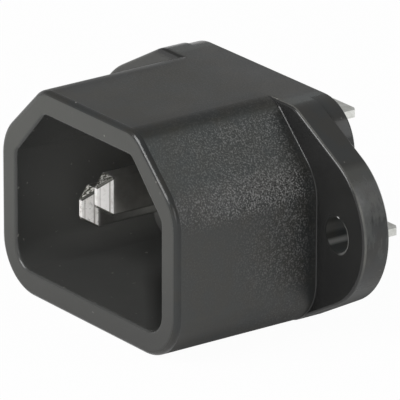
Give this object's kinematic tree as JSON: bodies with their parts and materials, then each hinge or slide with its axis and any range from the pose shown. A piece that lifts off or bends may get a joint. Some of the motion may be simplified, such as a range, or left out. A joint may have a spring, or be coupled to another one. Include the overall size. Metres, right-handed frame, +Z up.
{
  "type": "c14 panel inlet socket",
  "caption": "Power inlet socket for a panel: chamfered shroud around flat contact pins, screw flange with rounded ends, and folded terminal tabs behind.",
  "frame": {"origin": "centre of the flange face that seats on the panel, midway between the two screw holes", "axes": "+X along the line of the screw holes; +Z up, to the side of the earth pin; the mouth faces -Y and the terminals point to +Y"},
  "size_m": [0.0448, 0.0318, 0.0224],
  "materials": {
    "moulded_black": "black thermoplastic, fine spark-eroded texture",
    "nickel_plate": "brass strip, bright nickel plating"
  },
  "bodies": {
    "root": {"housing": "moulded_black", "earth_contact": "nickel_plate", "neutral_contact": "nickel_plate", "line_contact": "nickel_plate"}
  },
  "joints": []
}
